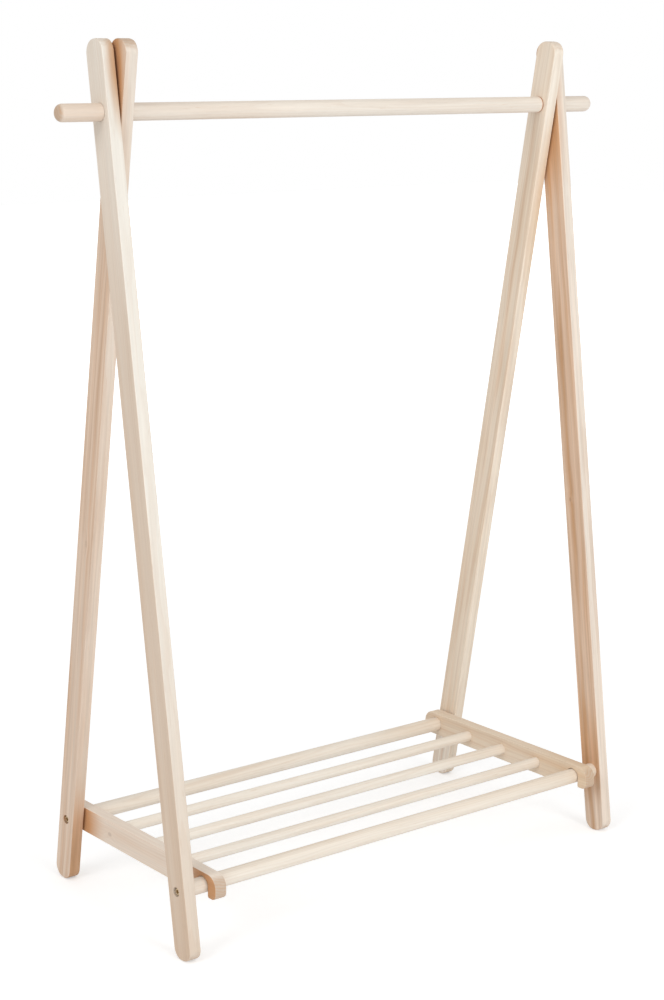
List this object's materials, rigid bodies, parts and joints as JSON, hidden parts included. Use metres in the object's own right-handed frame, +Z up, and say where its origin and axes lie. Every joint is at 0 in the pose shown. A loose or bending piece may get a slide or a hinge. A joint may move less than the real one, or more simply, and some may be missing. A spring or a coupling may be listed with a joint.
{
  "type": "clothes rack",
  "caption": "Low folding clothes rack in pale pine: crossed legs carry a round hanging rail, and a slatted shelf hooks over the front crossbar to lock the frames apart.",
  "frame": {"origin": "on the floor, under the middle of the hanging rail", "axes": "+X along the hanging rail, -Y to the front, where the shelf hooks over its crossbar, +Z up"},
  "size_m": [0.913, 0.3616, 1.157],
  "materials": {
    "pine": "untreated, sanded pale pine",
    "bronzed_steel": "dull antique bronze plating",
    "brass": "plain turned brass"
  },
  "bodies": {
    "back_frame": {"left_back_leg": "pine", "right_back_leg": "pine", "back_crossbar": "pine", "hanging_rail": "pine", "left_back_bolt": "bronzed_steel", "right_back_bolt": "bronzed_steel", "left_back_insert": "brass", "right_back_insert": "brass"},
    "front_frame": {"left_front_leg": "pine", "right_front_leg": "pine", "front_crossbar": "pine", "left_front_bolt": "bronzed_steel", "right_front_bolt": "bronzed_steel", "left_front_insert": "brass", "right_front_insert": "brass"},
    "shelf": {"left_shelf_end": "pine", "right_shelf_end": "pine", "back_shelf_dowel": "pine", "middle_shelf_dowel": "pine", "front_shelf_dowel": "pine"}
  },
  "joints": [
    {"name": "leg_fold", "type": "hinge", "parent": "back_frame", "child": "front_frame", "pos_m": [0, 0, 1.07], "axis": [1, 0, 0], "range_deg": [0, 15.5]},
    {"name": "shelf_swing", "type": "hinge", "parent": "back_frame", "child": "shelf", "pos_m": [0, 0.151, 0.093], "axis": [-1, 0, 0], "range_deg": [0, 80.6]}
  ],
  "couplings": [
    {"joint": "shelf_swing", "follows": "leg_fold", "ratio": 5.2}
  ]
}
